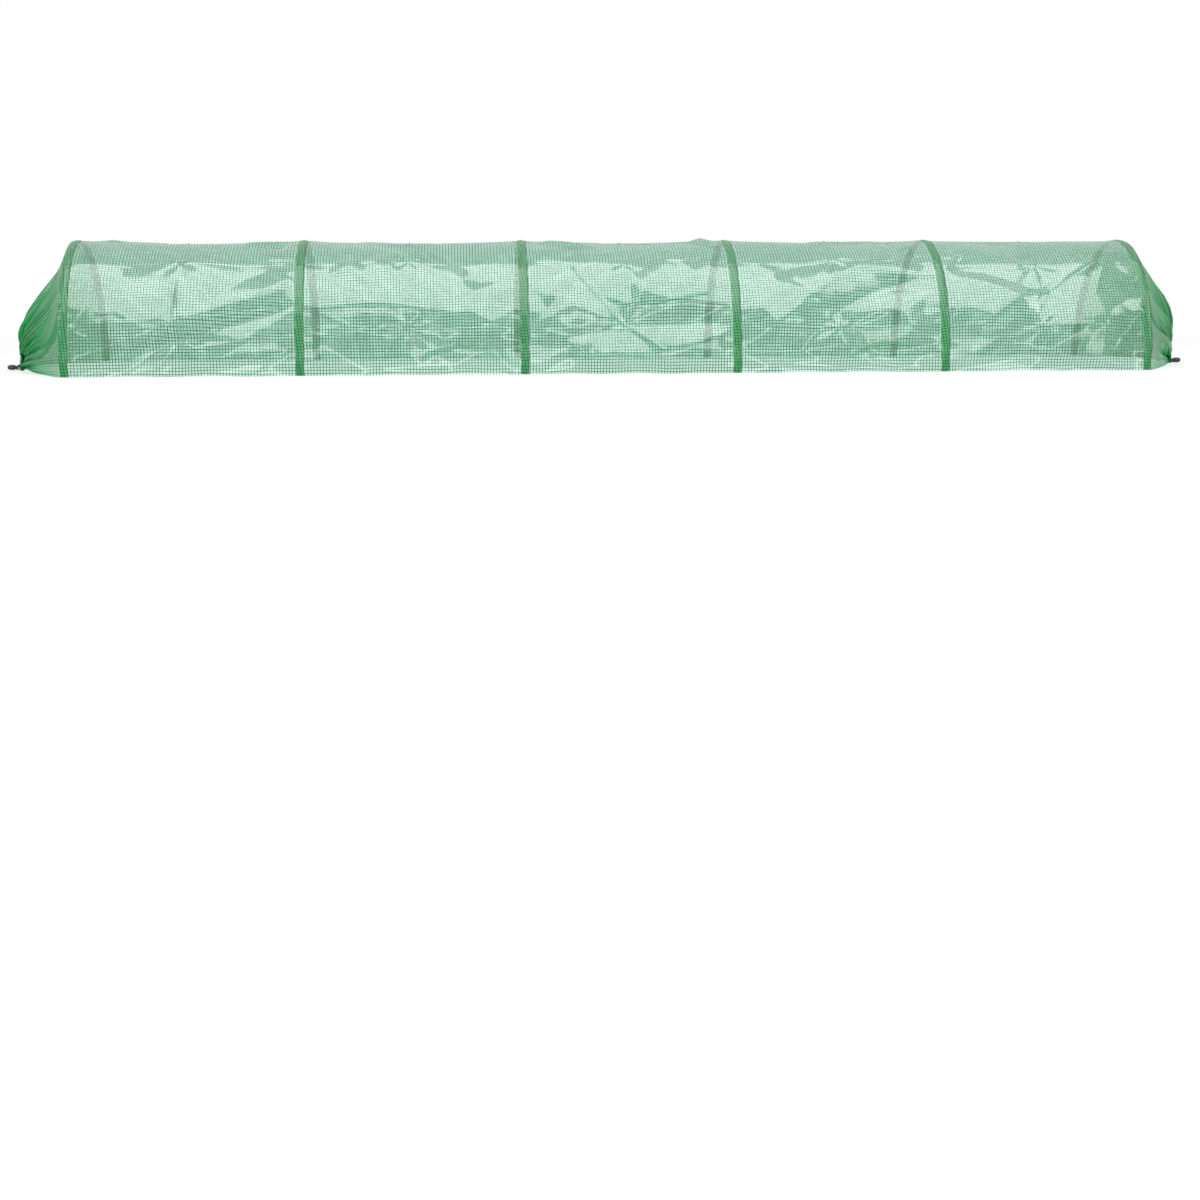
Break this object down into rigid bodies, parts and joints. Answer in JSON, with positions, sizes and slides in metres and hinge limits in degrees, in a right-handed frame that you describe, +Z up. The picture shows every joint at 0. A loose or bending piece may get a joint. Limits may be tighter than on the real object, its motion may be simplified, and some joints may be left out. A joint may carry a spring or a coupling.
{
  "type": "row cover tunnel",
  "caption": "Long low half-round row cover: clear green net film sewn over bent wire hoops, each end gathered by a drawcord with a spring cord lock.",
  "frame": {"origin": "on the ground under the middle of the tunnel, halfway between its ends and between its feet", "axes": "+X along the tunnel, towards the end that is on the right in the picture; +Y across it, away from the camera; +Z up"},
  "size_m": [3.4474, 0.5816, 0.3608],
  "materials": {
    "film": "clear green film with a welded net of green threads, creased",
    "gathered_film": "the same film turned over and gathered many layers deep",
    "wire": "galvanised",
    "cord": "braided, matt black",
    "plastic": "moulded, slightly glossy black",
    "spring": "spring steel"
  },
  "bodies": {
    "hoop_1": {"hoop_wire_1": "wire", "hoop_sleeve_1": "film", "cover_bay_1": "film", "end_skirt_left": "film"},
    "hoop_2": {"hoop_wire_2": "wire", "hoop_sleeve_2": "film", "cover_bay_2": "film"},
    "hoop_3": {"hoop_wire_3": "wire", "hoop_sleeve_3": "film", "cover_bay_3": "film"},
    "hoop_4": {"hoop_wire_4": "wire", "hoop_sleeve_4": "film", "cover_bay_4": "film"},
    "hoop_5": {"hoop_wire_5": "wire", "hoop_sleeve_5": "film", "cover_bay_5": "film"},
    "hoop_6": {"hoop_wire_6": "wire", "hoop_sleeve_6": "film", "end_skirt_right": "film"},
    "mouth_left": {"end_casing_left": "gathered_film", "casing_cord_left": "cord", "near_strand_left": "cord", "far_strand_left": "cord", "cord_knot_left": "cord", "long_tail_left": "cord", "short_tail_left": "cord"},
    "lock_left": {"lock_barrel_left": "plastic", "lock_spring_left": "spring"},
    "button_left": {"lock_button_left": "plastic"},
    "mouth_right": {"end_casing_right": "gathered_film", "casing_cord_right": "cord", "near_strand_right": "cord", "far_strand_right": "cord", "cord_knot_right": "cord", "long_tail_right": "cord", "short_tail_right": "cord"},
    "lock_right": {"lock_barrel_right": "plastic", "lock_spring_right": "spring"},
    "button_right": {"lock_button_right": "plastic"}
  },
  "joints": [
    {"name": "fold_1", "type": "slide", "parent": "hoop_1", "child": "hoop_2", "axis": [1, 0, 0], "range_m": [-0.5782, 0], "deforming": ["cover_bay_1"]},
    {"name": "fold_2", "type": "slide", "parent": "hoop_2", "child": "hoop_3", "axis": [1, 0, 0], "range_m": [-0.562, 0], "deforming": ["cover_bay_2"]},
    {"name": "fold_3", "type": "slide", "parent": "hoop_3", "child": "hoop_4", "axis": [1, 0, 0], "range_m": [-0.5386, 0], "deforming": ["cover_bay_3"]},
    {"name": "fold_4", "type": "slide", "parent": "hoop_4", "child": "hoop_5", "axis": [1, 0, 0], "range_m": [-0.538, 0], "deforming": ["cover_bay_4"]},
    {"name": "fold_5", "type": "slide", "parent": "hoop_5", "child": "hoop_6", "axis": [1, 0, 0], "range_m": [-0.5332, 0], "deforming": ["cover_bay_5"]},
    {"name": "mouth_left_tuck", "type": "slide", "parent": "hoop_1", "child": "mouth_left", "axis": [1, 0, 0], "range_m": [0, 0.12], "deforming": ["end_skirt_left"]},
    {"name": "lock_left_slide", "type": "slide", "parent": "mouth_left", "child": "lock_left", "axis": [0, 1, 0], "range_m": [0, 0.045]},
    {"name": "button_left_press", "type": "slide", "parent": "lock_left", "child": "button_left", "axis": [-1, 0, 0], "range_m": [0, 0.003], "stiffness_N_per_m": 400, "springref_m": -0.0015, "deforming": ["lock_spring_left"]},
    {"name": "mouth_right_tuck", "type": "slide", "parent": "hoop_6", "child": "mouth_right", "axis": [-1, 0, 0], "range_m": [0, 0.12], "deforming": ["end_skirt_right"]},
    {"name": "lock_right_slide", "type": "slide", "parent": "mouth_right", "child": "lock_right", "axis": [0, 1, 0], "range_m": [0, 0.045]},
    {"name": "button_right_press", "type": "slide", "parent": "lock_right", "child": "button_right", "axis": [1, 0, 0], "range_m": [0, 0.003], "stiffness_N_per_m": 400, "springref_m": -0.0015, "deforming": ["lock_spring_right"]}
  ]
}
